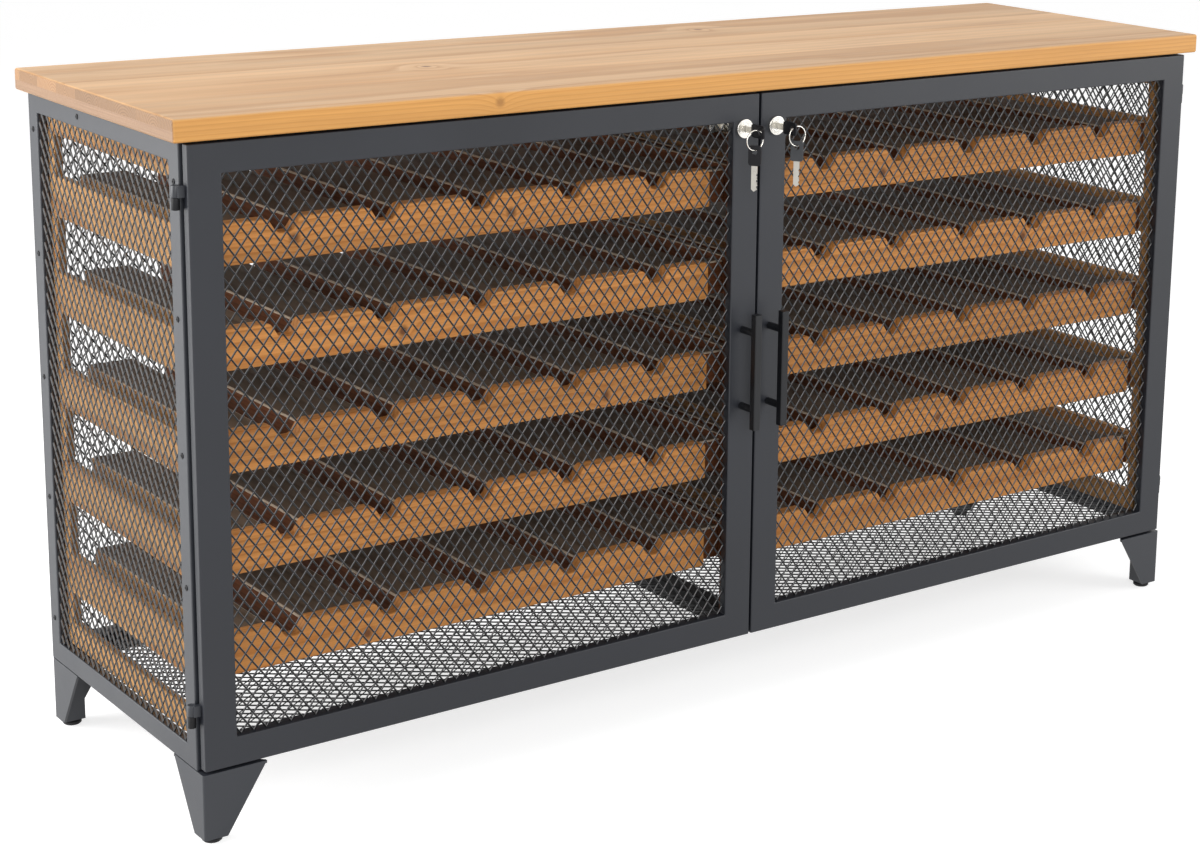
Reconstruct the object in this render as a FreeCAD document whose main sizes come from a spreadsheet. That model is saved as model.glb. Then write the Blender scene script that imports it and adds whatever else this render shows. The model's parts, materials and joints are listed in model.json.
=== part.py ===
import FreeCAD, Part
import Sketcher
import os
import re

# Wine cabinet: fir top and bottle racks in a steel carcass with two mesh doors.
# Millimetres, +Z up, doors face -Y, origin on the floor in the middle of the outer box.

doc = FreeCAD.newDocument("WineCabinet")
sheet = doc.addObject("Spreadsheet::Sheet", "Dimensions")
layout = doc.addObject("App::VarSet", "Layout")

dimensions = {
    # top board
    "top_width": 1500,
    "top_depth": 430,
    "overall_height": 800,
    "top_thickness": 25,
    "top_edge_radius": 3,
    "side_overhang": 14,
    "front_overhang": 6,
    "rear_overhang": 2,
    # carcass
    "tube_face": 25,
    "tube_depth": 12,
    "tube_wall": 1.5,
    "tube_radius": 1.5,
    "base_rail_depth": 26,
    # legs and feet
    "foot_height": 7,
    "foot_gap": 0.3,
    "foot_radius": 11,
    "foot_chamfer": 1.5,
    "foot_rim": 4,
    "foot_neck": 7,
    "stem_radius": 4,
    "stem_length": 38,
    "leg_height": 76,
    "leg_top_span": 75,
    "leg_sheet": 3,
    "leg_tube": 24,
    "running_gap": 0.05,
    # doors
    "door_thickness": 12,
    "door_inset": 3,
    "door_back_gap": 3,
    "door_meeting_gap": 3,
    "door_edge_gap": 3,
    "stile_width": 38,
    "door_rail_height": 33,
    # expanded metal
    "net_sheet": 1.5,
    "net_setback": 2,
    "net_border": 6,
    "net_strand": 5,
    "net_pitch_across": 104,
    "net_pitch_up": 138,
    # hinges
    "hinge_radius": 4.5,
    "hinge_pin_radius": 2.2,
    "hinge_half": 13,
    "hinge_gap": 0.3,
    "hinge_leaf": 7,
    "hinge_upper_drop": 56,
    "hinge_lower_rise": 63,
    # handles
    "handle_length": 144,
    "handle_spacing": 96,
    "handle_bar": 10,
    "handle_radius": 1.5,
    "handle_post_radius": 4.5,
    "handle_standoff": 23,
    "handle_rise": 6,
    # cam locks
    "lock_offset": 24,
    "lock_drop": 41,
    "lock_head_radius": 11.5,
    "lock_head": 3,
    "lock_barrel_radius": 9,
    "lock_hole_gap": 0.3,
    "lock_nut_radius": 12.5,
    "lock_nut": 4,
    "lock_tail_gap": 1.5,
    "plug_radius": 5.5,
    "cam_gap": 0.5,
    "cam_sheet": 2,
    "cam_width": 14,
    "cam_reach": 30,
    "cam_screw_radius": 4,
    "cam_screw": 1.5,
    # keys and rings
    "key_reach": 40,
    "key_bow_width": 16,
    "key_bow_end": 8,
    "key_bow_shoulder": 17,
    "key_bow_sheet": 2.4,
    "key_bow_radius": 3,
    "key_hole_radius": 3.2,
    "key_blade_width": 7.6,
    "key_blade_sheet": 2,
    "key_blade_length": 31,
    "key_bit": 1.4,
    "key_slot_gap": 0.2,
    "ring_radius": 12,
    "ring_wire": 0.7,
    "ring_lean": 40,
    "ring_play": 0.7,
    "spare_twist": 35,
    # ladder frames
    "ladder_thickness": 10,
    "ladder_front_post": 14,
    "ladder_rear_post": 31,
    "ladder_setback": 6,
    "rung_height": 48,
    "foot_rung_height": 29,
    "rack_gap": 10,
    # trays
    "top_level_drop": 96,
    "bottom_level_rise": 115,
    "tray_inner_gap": 36,
    "tray_outer_gap": 27,
    "tray_setback": 15,
    "tray_front_height": 46,
    "tray_front_thickness": 20,
    "notch_end_spare": 31,
    "notch_width": 38,
    "notch_floor": 17,
    "notch_depth": 16,
    "notch_floor_radius": 7,
    "notch_lip_radius": 7,
    "channel_width": 38,
    "slat_rear_gap": 10,
    "slat_thickness": 34,
    "slat_drop": 5,
    "bearer_width": 20,
    # cuts run past the faces they open by this much
    "cut_overrun": 2,
}

sides = {"left": -1, "right": 1}
notch_count = 5
level_count = 5
key_bit_count = 5
sliver_share = 0.12

for row, (name, value) in enumerate(dimensions.items(), start=1):
    sheet.set(f"A{row}", str(value))
    sheet.setAlias(f"A{row}", name)

derived = []


def ex(text):
    def full(match):
        word = match.group(0)
        if word in dimensions:
            return "Dimensions." + word
        if word in derived:
            return "Layout." + word
        return word
    return re.sub(r"[a-z][a-z0-9_]*", full, text)


def number(text):
    return float(layout.evalExpression(ex(text)))


def bind(item, prop, text):
    item.setExpression(prop, ex(text))


def derive(name, text):
    layout.addProperty("App::PropertyFloat", name, "Layout")
    bind(layout, name, text)
    derived.append(name)


# planes that more than one piece is built from
derive("half_width", "top_width / 2 - side_overhang")
derive("inner_half", "half_width - tube_depth")
derive("door_front", "key_reach - (top_depth + key_reach - front_overhang) / 2")
derive("door_back", "door_front + door_thickness")
derive("frame_front", "door_back + door_back_gap")
derive("frame_rear", "door_front - front_overhang + top_depth - rear_overhang")
derive("front_inner", "frame_front + tube_depth")
derive("rear_inner", "frame_rear - tube_depth")
derive("base_front", "frame_front + base_rail_depth")
derive("base_rear", "frame_rear - base_rail_depth")
derive("base_low", "foot_height + leg_height")
derive("base_top", "base_low + tube_face")
derive("top_low", "overall_height - top_thickness")
derive("rail_low", "top_low - tube_face")
derive("door_outer", "half_width - door_inset")
derive("door_inner", "door_meeting_gap / 2")
derive("door_low", "base_low + door_edge_gap")
derive("door_top", "top_low - door_edge_gap")
derive("hinge_upper", "door_top - hinge_upper_drop")
derive("hinge_lower", "door_low + hinge_lower_rise")
derive("handle_height", "(door_low + door_top) / 2 + handle_rise")
derive("lock_height", "door_top - lock_drop")
derive("hinge_x", "half_width + hinge_radius + hinge_gap")
derive("hinge_y", "door_back + door_back_gap / 2")
derive("post_front", "front_inner + ladder_setback")
derive("post_rear", "rear_inner")
derive("bay_inner", "rack_gap / 2 + ladder_thickness")
derive("bay_outer", "inner_half - ladder_thickness")
derive("tray_inner", "bay_inner + tray_inner_gap")
derive("tray_outer", "bay_outer - tray_outer_gap")
derive("tray_middle", "(tray_inner + tray_outer) / 2")
derive("tray_width", "tray_outer - tray_inner")
derive("tray_front", "frame_front + tray_setback")
derive("tray_back", "tray_front + tray_front_thickness")
derive("notch_pitch", f"(tray_width - notch_end_spare) / {notch_count}")
derive("level_pitch", f"(top_low - top_level_drop - base_top - bottom_level_rise) / {level_count - 1}")
derive("slat_length", "rear_inner - slat_rear_gap - tray_back")
derive("slat_low", "slat_drop + slat_thickness")
derive("lock_face", "door_front - lock_head")
derive("lock_tail", "front_inner - lock_tail_gap")
derive("cam_front", "front_inner + cam_gap")
derive("cam_back", "cam_front + cam_sheet")
derive("key_hole_y", "door_front - key_reach + key_bow_end")
derive("ring_side", "ring_radius * sin(ring_lean * 1deg)")
derive("ring_height", "lock_height - ring_radius * cos(ring_lean * 1deg)")
derive("spare_wire", "ring_height - ring_radius")
derive("spare_height", "spare_wire - key_hole_radius + ring_wire + ring_play")
doc.recompute()

axes = {"X": FreeCAD.Vector(1, 0, 0), "Y": FreeCAD.Vector(0, 1, 0), "Z": FreeCAD.Vector(0, 0, 1)}
along_y = FreeCAD.Rotation(axes["X"], -90)
nodes = {}


def keep(name, item):
    item.Label = name
    nodes[name] = item
    return item


def place(item, x, y, z):
    for axis, text in zip("xyz", (x, y, z)):
        bind(item, "Placement.Base." + axis, text)
    return item


def span(side, near, far):
    # low and high bound of a stretch that runs outward from the middle on one side
    if side > 0:
        return near, far
    return f"-({far})", f"-({near})"


def block(name, x, y, z):
    item = doc.addObject("Part::Box", name)
    for prop, (low, high) in zip(("Length", "Width", "Height"), (x, y, z)):
        bind(item, prop, f"({high}) - ({low})")
    return place(item, x[0], y[0], z[0])


def rod(name, x, y, z, radius):
    # the axis is the direction that has a low and a high bound
    item = doc.addObject("Part::Cylinder", name)
    bind(item, "Radius", radius)
    if isinstance(y, tuple):
        item.Placement = FreeCAD.Placement(FreeCAD.Vector(), along_y)
        bind(item, "Height", f"({y[1]}) - ({y[0]})")
        return place(item, x, y[0], z)
    bind(item, "Height", f"({z[1]}) - ({z[0]})")
    return place(item, x, y, z[0])


def fuse(name, items):
    item = doc.addObject("Part::MultiFuse", name)
    item.Shapes = items
    item.Refine = True
    return item


def cut(name, base, tool):
    item = doc.addObject("Part::Cut", name)
    item.Base = base
    item.Tool = tool
    return item


def group(name, items):
    item = doc.addObject("Part::Compound", name)
    item.Links = items
    return keep(name, item)


def new_body(name):
    return doc.addObject("PartDesign::Body", name)


def new_sketch(body, role, lift=None):
    sketch = body.newObject("Sketcher::SketchObject", "Sketch")
    plane = [item for item in body.Origin.OriginFeatures if item.Role == role][0]
    sketch.AttachmentSupport = [(plane, "")]
    sketch.MapMode = "FlatFace"
    if lift is not None:
        bind(sketch, "AttachmentOffset.Base.z", lift)
    return sketch


def pin_point(sketch, geometry, point, x, y):
    for kind, text in (("DistanceX", x), ("DistanceY", y)):
        index = sketch.addConstraint(Sketcher.Constraint(kind, -1, 1, geometry, point, number(text)))
        bind(sketch, f"Constraints[{index}]", text)


def outline(sketch, points):
    places = [FreeCAD.Vector(number(x), number(y), 0) for x, y in points]
    first = sketch.GeometryCount
    count = len(points)
    for i in range(count):
        sketch.addGeometry(Part.LineSegment(places[i], places[(i + 1) % count]), False)
    for i in range(count):
        sketch.addConstraint(Sketcher.Constraint("Coincident", first + i, 2, first + (i + 1) % count, 1))
    for i, (x, y) in enumerate(points):
        pin_point(sketch, first + i, 1, x, y)


def rectangle(sketch, x, y):
    outline(sketch, [(x[0], y[0]), (x[1], y[0]), (x[1], y[1]), (x[0], y[1])])


def circle(sketch, x, y, radius):
    centre = FreeCAD.Vector(number(x), number(y), 0)
    index = sketch.addGeometry(Part.Circle(centre, axes["Z"], number(radius)), False)
    pin_point(sketch, index, 3, x, y)
    size = sketch.addConstraint(Sketcher.Constraint("Radius", index, number(radius)))
    bind(sketch, f"Constraints[{size}]", radius)


def pad(body, sketch, length, backwards=False, both_ways=False):
    feature = body.newObject("PartDesign::Pad", "Pad")
    feature.Profile = sketch
    feature.Reversed = backwards
    if both_ways:
        feature.SideType = "Symmetric"
    bind(feature, "Length", length)
    return feature


def pocket(body, sketch, length, backwards=False):
    feature = body.newObject("PartDesign::Pocket", "Pocket")
    feature.Profile = sketch
    feature.Reversed = backwards
    bind(feature, "Length", length)
    return feature


def round_edges(body, base, radius, wanted):
    # wanted tells from an edge's direction and middle whether it is rounded
    doc.recompute()
    names = []
    for index, edge in enumerate(base.Shape.Edges, start=1):
        if edge.Curve.TypeId != "Part::GeomLine":
            continue
        middle = edge.valueAt((edge.FirstParameter + edge.LastParameter) / 2)
        if wanted(edge.tangentAt(edge.FirstParameter), middle):
            names.append(f"Edge{index}")
    feature = body.newObject("PartDesign::Fillet", "Fillet")
    feature.Base = (base, names)
    bind(feature, "Radius", radius)
    return feature


def runs(axis):
    return lambda direction, middle: abs(direction.dot(axes[axis])) > 1 - Part.Precision.confusion()


def tube(name, axis, x, y, z):
    # hollow bar with its long edges rounded, as welded tube has
    body = new_body(name)
    role, across, up, length = {
        "X": ("YZ_Plane", y, z, x),
        "Y": ("XZ_Plane", x, z, y),
        "Z": ("XY_Plane", x, y, z),
    }[axis]
    sketch = new_sketch(body, role)
    rectangle(sketch, across, up)
    bore = [(f"{start} + tube_wall", f"{stop} - tube_wall") for start, stop in (across, up)]
    rectangle(sketch, bore[0], bore[1])
    bar = pad(body, sketch, f"({length[1]}) - ({length[0]})", backwards=(axis == "Y"))
    round_edges(body, bar, "tube_radius", runs(axis))
    bind(body, "Placement.Base." + axis.lower(), length[0])
    return body


# top board
board = new_body("TopBoard")
board_sketch = new_sketch(board, "XY_Plane", "top_low")
rectangle(board_sketch, ("-top_width / 2", "top_width / 2"),
          ("door_front - front_overhang", "door_front - front_overhang + top_depth"))
board_pad = pad(board, board_sketch, "top_thickness")
round_edges(board, board_pad, "top_edge_radius", lambda direction, middle: True)
keep("top_board", board)

# side frames
front_post = ("frame_front", "frame_front + tube_face")
rear_post = ("frame_rear - tube_face", "frame_rear")
between_posts = (front_post[1], rear_post[0])
for side_name, side in sides.items():
    thick = span(side, "inner_half", "half_width")
    group(f"{side_name}_side_frame", [
        tube("FrontPost", "Z", thick, front_post, ("base_low", "top_low")),
        tube("RearPost", "Z", thick, rear_post, ("base_low", "top_low")),
        tube("SideTopRail", "Y", thick, between_posts, ("rail_low", "top_low")),
        tube("SideBottomRail", "Y", thick, between_posts, ("base_low", "base_top")),
    ])

# rails between the side frames
full_width = ("-inner_half", "inner_half")
high = ("rail_low", "top_low")
low = ("base_low", "base_top")
keep("front_top_rail", tube("FrontTopRail", "X", full_width, ("frame_front", "front_inner"), high))
keep("rear_top_rail", tube("RearTopRail", "X", full_width, ("rear_inner", "frame_rear"), high))
keep("front_bottom_rail", tube("FrontBottomRail", "X", full_width, ("frame_front", "base_front"), low))
keep("rear_bottom_rail", tube("RearBottomRail", "X", full_width, ("base_rear", "frame_rear"), low))
centre_rail = ("-tube_face / 2", "tube_face / 2")
keep("base_centre_rail", tube("BaseCentreRail", "Y", centre_rail, ("base_front", "base_rear"), low))


def clip(points, index, limit, sign):
    # part of a convex outline on one side of a line along one of its axes
    kept = []
    for a, b in zip(points, points[1:] + points[:1]):
        inside_a = sign * (a[index] - limit) >= 0
        inside_b = sign * (b[index] - limit) >= 0
        if inside_a:
            kept.append(a)
        if inside_a != inside_b:
            step = (limit - a[index]) / (b[index] - a[index])
            kept.append((a[0] + step * (b[0] - a[0]), a[1] + step * (b[1] - a[1])))
    return kept


def area(points):
    pairs = zip(points, points[1:] + points[:1])
    return abs(sum(a[0] * b[1] - a[1] * b[0] for a, b in pairs)) / 2


def net(name, across, up, base, lift):
    # one sheet with staggered diamond openings, a whole number of pitches each way
    low_a, high_a = (number(text) for text in across)
    low_u, high_u = (number(text) for text in up)
    count_a = max(1, round((high_a - low_a) / number("net_pitch_across")))
    count_u = max(1, round((high_u - low_u) / number("net_pitch_up")))
    step_a = (high_a - low_a) / count_a
    step_u = (high_u - low_u) / count_u
    strand = number("net_strand")
    border = number("net_border")
    half_a = step_a / 2 - strand / 2 * (1 + (step_a / step_u) ** 2) ** 0.5
    half_u = half_a * step_u / step_a
    wires = []
    edge = [(low_a, low_u), (high_a, low_u), (high_a, high_u), (low_a, high_u)]
    holes = [edge]
    for i in range(2 * count_a + 1):
        for j in range(2 * count_u + 1):
            if (i + j) % 2:
                continue
            a = low_a + i * step_a / 2
            u = low_u + j * step_u / 2
            shape = [(a - half_a, u), (a, u - half_u), (a + half_a, u), (a, u + half_u)]
            for index, limit, sign in ((0, low_a + border, 1), (0, high_a - border, -1),
                                       (1, low_u + border, 1), (1, high_u - border, -1)):
                shape = clip(shape, index, limit, sign)
            if len(shape) > 2 and area(shape) > sliver_share * half_a * half_u:
                holes.append(shape)
    for points in holes:
        corners = [base[0] * a + base[1] * u + base[2] * number(lift) for a, u in points]
        wires.append(Part.makePolygon(corners + corners[:1]))
    face = Part.makeFace(wires, "Part::FaceMakerBullseye")
    item = doc.addObject("Part::Feature", name)
    item.Shape = face.extrude(base[2] * number("net_sheet"))
    return item


facing_side = (axes["Y"], axes["Z"], axes["X"])
facing_front = (axes["X"], axes["Z"], axes["Y"])
facing_up = (axes["X"], axes["Y"], axes["Z"])
panel_height = ("base_top", "rail_low")
for side_name, side in sides.items():
    lift = span(side, "half_width - net_setback - net_sheet", "half_width - net_setback")[0]
    keep(f"{side_name}_side_mesh",
         net("SideNet", between_posts, panel_height, facing_side, lift))
keep("back_mesh", net("BackNet", full_width, panel_height, facing_front, "rear_inner + tube_depth / 2"))
group("base_mesh", [
    net("BaseNet", span(side, "tube_face / 2", "inner_half"), ("base_front", "base_rear"),
        facing_up, "base_low + tube_face / 2")
    for side in sides.values()
])

# legs: two tapered flanges folded round the tube that takes the foot
leg_ends = {"front": ("door_front", 1), "rear": ("frame_rear", -1)}
for end_name, (corner_y, inward_y) in leg_ends.items():
    for side_name, side in sides.items():
        inward_x = -side
        body = new_body("Leg")
        foot_span = "(leg_sheet + leg_tube)"
        for role, inward, backwards in (("XZ_Plane", inward_x, inward_y > 0),
                                        ("YZ_Plane", inward_y, inward_x < 0)):
            sketch = new_sketch(body, role)
            outline(sketch, [("0", "0"), (f"{inward} * {foot_span}", "0"),
                             (f"{inward} * leg_top_span", "leg_height"), ("0", "leg_height")])
            pad(body, sketch, "leg_sheet", backwards=backwards)
        plate = new_sketch(body, "XY_Plane", "leg_height - leg_sheet")
        outline(plate, [("0", "0"), (f"{inward_x} * leg_top_span", "0"),
                        (f"{inward_x} * leg_top_span", f"{inward_y} * leg_sheet"),
                        (f"{inward_x} * leg_sheet", f"{inward_y} * leg_top_span"),
                        ("0", f"{inward_y} * leg_top_span")])
        pad(body, plate, "leg_sheet")
        column = new_sketch(body, "XY_Plane")
        rectangle(column, ("0", f"{inward_x} * {foot_span}"), ("0", f"{inward_y} * {foot_span}"))
        solid = pad(body, column, "leg_height")
        middle_x = f"{inward_x} * (leg_sheet + leg_tube / 2)"
        middle_y = f"{inward_y} * (leg_sheet + leg_tube / 2)"
        bore = new_sketch(body, "XY_Plane")
        circle(bore, middle_x, middle_y, "stem_radius + running_gap")
        hole = pocket(body, bore, "stem_length", backwards=True)
        doc.recompute()
        if hole.Shape.Volume >= solid.Shape.Volume:
            raise ValueError("the bore for the foot's stem took nothing away")
        round_edges(body, hole, "leg_sheet", lambda direction, middle:
                    runs("Z")(direction, middle) and middle.x ** 2 + middle.y ** 2 < number("leg_sheet"))
        corner_x = f"{side} * half_width"
        place(body, corner_x, corner_y, "foot_height")
        keep(f"{end_name}_{side_name}_leg", body)

        foot = new_body("Foot")
        profile = new_sketch(foot, "XZ_Plane")
        outline(profile, [("0", "0"), ("foot_radius - foot_chamfer", "0"),
                          ("foot_radius", "foot_chamfer"), ("foot_radius", "foot_rim"),
                          ("foot_neck", "foot_height - foot_gap"),
                          ("stem_radius", "foot_height - foot_gap"),
                          ("stem_radius", "stem_length"), ("0", "stem_length")])
        turned = foot.newObject("PartDesign::Revolution", "Revolution")
        turned.Profile = profile
        turned.ReferenceAxis = (profile, ["V_Axis"])
        place(foot, f"{corner_x} + {middle_x}", f"{corner_y} + {middle_y}", "0")
        keep(f"{end_name}_{side_name}_foot", foot)

# ladder frames: posts, a rung beside every tray and one at the head; the outer ones have one at the foot too
level_tops = [f"(top_low - top_level_drop - {level} * level_pitch)" for level in range(level_count)]
rungs = [("top_low - rung_height", "top_low")]
rungs += [(f"{top} - rung_height", top) for top in level_tops]
foot_rung = ("base_top", "base_top + foot_rung_height")
front_leg = ("post_front", "post_front + ladder_front_post")
rear_leg = ("post_rear - ladder_rear_post", "post_rear")
ladder_places = {"outer": ("bay_outer", "inner_half"), "inner": ("rack_gap / 2", "bay_inner")}
for side_name, side in sides.items():
    for place_name, (near, far) in ladder_places.items():
        thick = span(side, near, far)
        pieces = [block("LadderPost", thick, depth, ("base_top", "top_low"))
                  for depth in (front_leg, rear_leg)]
        heights = rungs + [foot_rung] if place_name == "outer" else rungs
        pieces += [block("Rung", thick, (front_leg[1], rear_leg[0]), height) for height in heights]
        group(f"{side_name}_{place_name}_ladder", pieces)

# trays: notched front board, slats with a bottle channel between each two, and two bearers
# below; the front bearer comes up beside the slats at both ends
board_half = "tray_width / 2"
for side_name, side in sides.items():
    for level, top in enumerate(level_tops, start=1):
        middle = f"{side} * tray_middle"
        body = new_body("TrayFront")
        face = new_sketch(body, "XZ_Plane")
        rectangle(face, (f"-{board_half}", board_half), ("-tray_front_height", "0"))
        pad(body, face, "tray_front_thickness", backwards=True)
        notch = new_sketch(body, "XZ_Plane")
        first = f"(notch_pitch * {notch_count - 1} / 2)"
        outline(notch, [(f"-{first} - notch_width / 2", "cut_overrun"),
                        (f"-{first} - notch_width / 2", "0"),
                        (f"-{first} - notch_floor / 2", "-notch_depth"),
                        (f"-{first} + notch_floor / 2", "-notch_depth"),
                        (f"-{first} + notch_width / 2", "0"),
                        (f"-{first} + notch_width / 2", "cut_overrun")])
        opening = pocket(body, notch, "tray_front_thickness")
        row_of_notches = body.newObject("PartDesign::LinearPattern", "LinearPattern")
        row_of_notches.Originals = [opening]
        row_of_notches.Direction = (notch, ["H_Axis"])
        bind(row_of_notches, "Length", f"notch_pitch * {notch_count - 1}")
        row_of_notches.Occurrences = notch_count
        body.Tip = row_of_notches
        floor_height = -number("notch_depth")
        hair = number("running_gap")
        floors = round_edges(body, row_of_notches, "notch_floor_radius", lambda direction, spot:
                             runs("Y")(direction, spot) and abs(spot.z - floor_height) < hair)
        round_edges(body, floors, "notch_lip_radius", lambda direction, spot:
                    runs("Y")(direction, spot) and abs(spot.z) < hair)
        place(body, middle, "tray_front", top)
        pieces = [body]
        slat_depth = ("tray_back", "tray_back + slat_length")
        slat_height = (f"{top} - slat_low", f"{top} - slat_drop")
        edges = [f"-{board_half}"]
        for index in range(notch_count):
            centre = f"notch_pitch * {index} - {first}"
            edges += [f"{centre} - channel_width / 2", f"{centre} + channel_width / 2"]
        edges.append(board_half)
        for start, stop in zip(edges[0::2], edges[1::2]):
            across = (f"{middle} + {start}", f"{middle} + {stop}")
            pieces.append(block("Slat", across, slat_depth, slat_height))
        bay = span(side, "bay_inner", "bay_outer")
        bearer_height = (f"{top} - tray_front_height", f"{top} - slat_low")
        front_depth = ("tray_back", "tray_back + bearer_width")
        rear_depth = ("tray_back + slat_length - bearer_width", "tray_back + slat_length")
        ends = [block("BearerEnd", span(side, near, far), front_depth, slat_height)
                for near, far in (("bay_inner", "tray_inner"), ("tray_outer", "bay_outer"))]
        pieces.append(fuse("FrontBearer", [block("Bearer", bay, front_depth, bearer_height)] + ends))
        pieces.append(block("RearBearer", bay, rear_depth, bearer_height))
        group(f"{side_name}_tray_{level}", pieces)


def key_body(name):
    # origin in the middle of the bow's hole, blade along +Y, flat in the XY plane
    body = new_body(name)
    half_bow = "key_bow_width / 2"
    flat = new_sketch(body, "XY_Plane")
    rectangle(flat, (f"-{half_bow}", half_bow), ("-key_bow_end", "key_bow_shoulder"))
    bow = pad(body, flat, "key_bow_sheet", both_ways=True)
    round_edges(body, bow, "key_bow_radius", runs("Z"))
    half_blade = "key_blade_width / 2"
    tip = "(key_bow_shoulder + key_blade_length)"
    bit_step = f"(key_blade_length / {2 * key_bit_count})"
    points = [(half_blade, "key_bow_shoulder - cut_overrun"), (half_blade, f"{tip} - 2 * key_bit"),
              ("0", tip), (f"-{half_blade}", f"{tip} - 2 * key_bit")]
    for index in range(2, key_bit_count + 1):
        points.append((f"-{half_blade} + key_bit", f"{tip} - {2 * index - 1} * {bit_step}"))
        points.append((f"-{half_blade}", f"{tip} - {2 * index} * {bit_step}"))
    points.append((f"-{half_blade}", "key_bow_shoulder - cut_overrun"))
    blade = new_sketch(body, "XY_Plane")
    outline(blade, points)
    whole = pad(body, blade, "key_blade_sheet", both_ways=True)
    eye = new_sketch(body, "XY_Plane", "-key_bow_sheet / 2")
    circle(eye, "0", "0", "key_hole_radius")
    hole = pocket(body, eye, "key_bow_sheet", backwards=True)
    doc.recompute()
    if hole.Shape.Volume >= whole.Shape.Volume:
        raise ValueError("the bow's hole took nothing away")
    return body


# doors, with hinges, handle, lock, key, ring and spare key
upright_key = FreeCAD.Rotation(axes["Y"], -90)
hanging_key = FreeCAD.Rotation(axes["Y"], axes["Z"] * -1, axes["X"], "XYZ")
twisted_key = FreeCAD.Rotation(axes["Z"], number("spare_twist")).multiply(hanging_key)
leaf_depth = {"door": ("hinge_y - hinge_leaf", "door_back"),
              "frame": ("frame_front", "hinge_y + hinge_leaf")}
for side_name, side in sides.items():
    door_depth = ("door_front", "door_back")
    door_tall = ("door_low", "door_top")
    hinge_stile = span(side, "door_outer - stile_width", "door_outer")
    keep(f"{side_name}_door_hinge_stile", tube("HingeStile", "Z", hinge_stile, door_depth, door_tall))
    meeting = span(side, "door_inner", "door_inner + stile_width")
    lock_x = f"{side} * lock_offset"
    stile = tube("MeetingStile", "Z", meeting, door_depth, door_tall)
    lock_hole = rod("LockHole", lock_x, ("door_front - cut_overrun", "door_back + cut_overrun"),
                    "lock_height", "lock_barrel_radius + lock_hole_gap")
    keep(f"{side_name}_door_meeting_stile", cut("BoredStile", stile, lock_hole))
    opening = span(side, "door_inner + stile_width", "door_outer - stile_width")
    opening_tall = ("door_low + door_rail_height", "door_top - door_rail_height")
    keep(f"{side_name}_door_top_rail",
         tube("DoorTopRail", "X", opening, door_depth, (opening_tall[1], "door_top")))
    keep(f"{side_name}_door_bottom_rail",
         tube("DoorBottomRail", "X", opening, door_depth, ("door_low", opening_tall[0])))
    keep(f"{side_name}_door_mesh",
         net("DoorNet", opening, opening_tall, facing_front, "door_front + door_thickness / 2"))

    hinge_x = f"{side} * hinge_x"
    door_half = []
    frame_half = []
    for height in ("hinge_lower", "hinge_upper"):
        upper = (f"{height} + hinge_gap / 2", f"{height} + hinge_half")
        lower = (f"{height} - hinge_half", f"{height} - hinge_gap / 2")
        barrel = rod("DoorBarrel", hinge_x, "hinge_y", upper, "hinge_radius")
        leaf = block("DoorLeaf", span(side, "door_outer", "hinge_x"), leaf_depth["door"], upper)
        bore = rod("HingeBore", hinge_x, "hinge_y", (f"{height} - hinge_half", f"{height} + hinge_half / 2"),
                   "hinge_pin_radius + running_gap")
        door_half.append(cut("DoorHinge", fuse("DoorHingeSolid", [barrel, leaf]), bore))
        fixed = rod("FrameBarrel", hinge_x, "hinge_y", lower, "hinge_radius")
        plate = block("FrameLeaf", span(side, "half_width", "hinge_x"), leaf_depth["frame"], lower)
        pin = rod("HingePin", hinge_x, "hinge_y", (lower[0], f"{height} + hinge_half / 2 - hinge_gap"),
                  "hinge_pin_radius")
        frame_half.append(fuse("FrameHinge", [fixed, plate, pin]))
    group(f"{side_name}_door_hinges", door_half)
    group(f"{side_name}_frame_hinges", frame_half)

    pull = new_body("Handle")
    bar_sketch = new_sketch(pull, "XZ_Plane", "handle_standoff")
    rectangle(bar_sketch, ("-handle_bar / 2", "handle_bar / 2"), ("-handle_length / 2", "handle_length / 2"))
    bar = pad(pull, bar_sketch, "handle_bar")
    round_edges(pull, bar, "handle_radius", runs("Z"))
    posts = new_sketch(pull, "XZ_Plane")
    for height in ("-handle_spacing / 2", "handle_spacing / 2"):
        circle(posts, "0", height, "handle_post_radius")
    pad(pull, posts, "handle_standoff + handle_bar / 2")
    place(pull, f"{side} * (door_inner + stile_width / 2)", "door_front", "handle_height")
    keep(f"{side_name}_handle", pull)

    head = rod("LockHead", lock_x, ("lock_face", "door_front"), "lock_height", "lock_head_radius")
    barrel = rod("LockBarrel", lock_x, ("lock_face", "lock_tail"), "lock_height", "lock_barrel_radius")
    nut = rod("LockNut", lock_x, ("door_back", "door_back + lock_nut"), "lock_height", "lock_nut_radius")
    bore = rod("PlugBore", lock_x, ("lock_face - cut_overrun", "lock_tail + cut_overrun"), "lock_height",
               "plug_radius + running_gap")
    keep(f"{side_name}_lock_body", cut("LockBody", fuse("LockSolid", [head, barrel, nut]), bore))

    core = rod("PlugCore", lock_x, ("lock_face", "cam_back"), "lock_height", "plug_radius")
    cam = block("Cam", span(side, "lock_offset - cam_width / 2", "lock_offset + cam_reach"),
                ("cam_front", "cam_back"), ("lock_height - cam_width / 2", "lock_height + cam_width / 2"))
    screw = rod("CamScrew", lock_x, ("cam_front", "cam_back + cam_screw"), "lock_height", "cam_screw_radius")
    slot_half = "(key_blade_sheet / 2 + key_slot_gap)"
    slot_tall = "(key_blade_width / 2 + key_slot_gap)"
    slot_end = "key_hole_y + key_bow_shoulder + key_blade_length + key_slot_gap"
    slot = block("KeySlot", (f"{lock_x} - {slot_half}", f"{lock_x} + {slot_half}"),
                 ("lock_face - cut_overrun", slot_end),
                 (f"lock_height - {slot_tall}", f"lock_height + {slot_tall}"))
    keep(f"{side_name}_lock_plug", cut("LockPlug", fuse("PlugSolid", [core, cam, screw]), slot))

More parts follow.
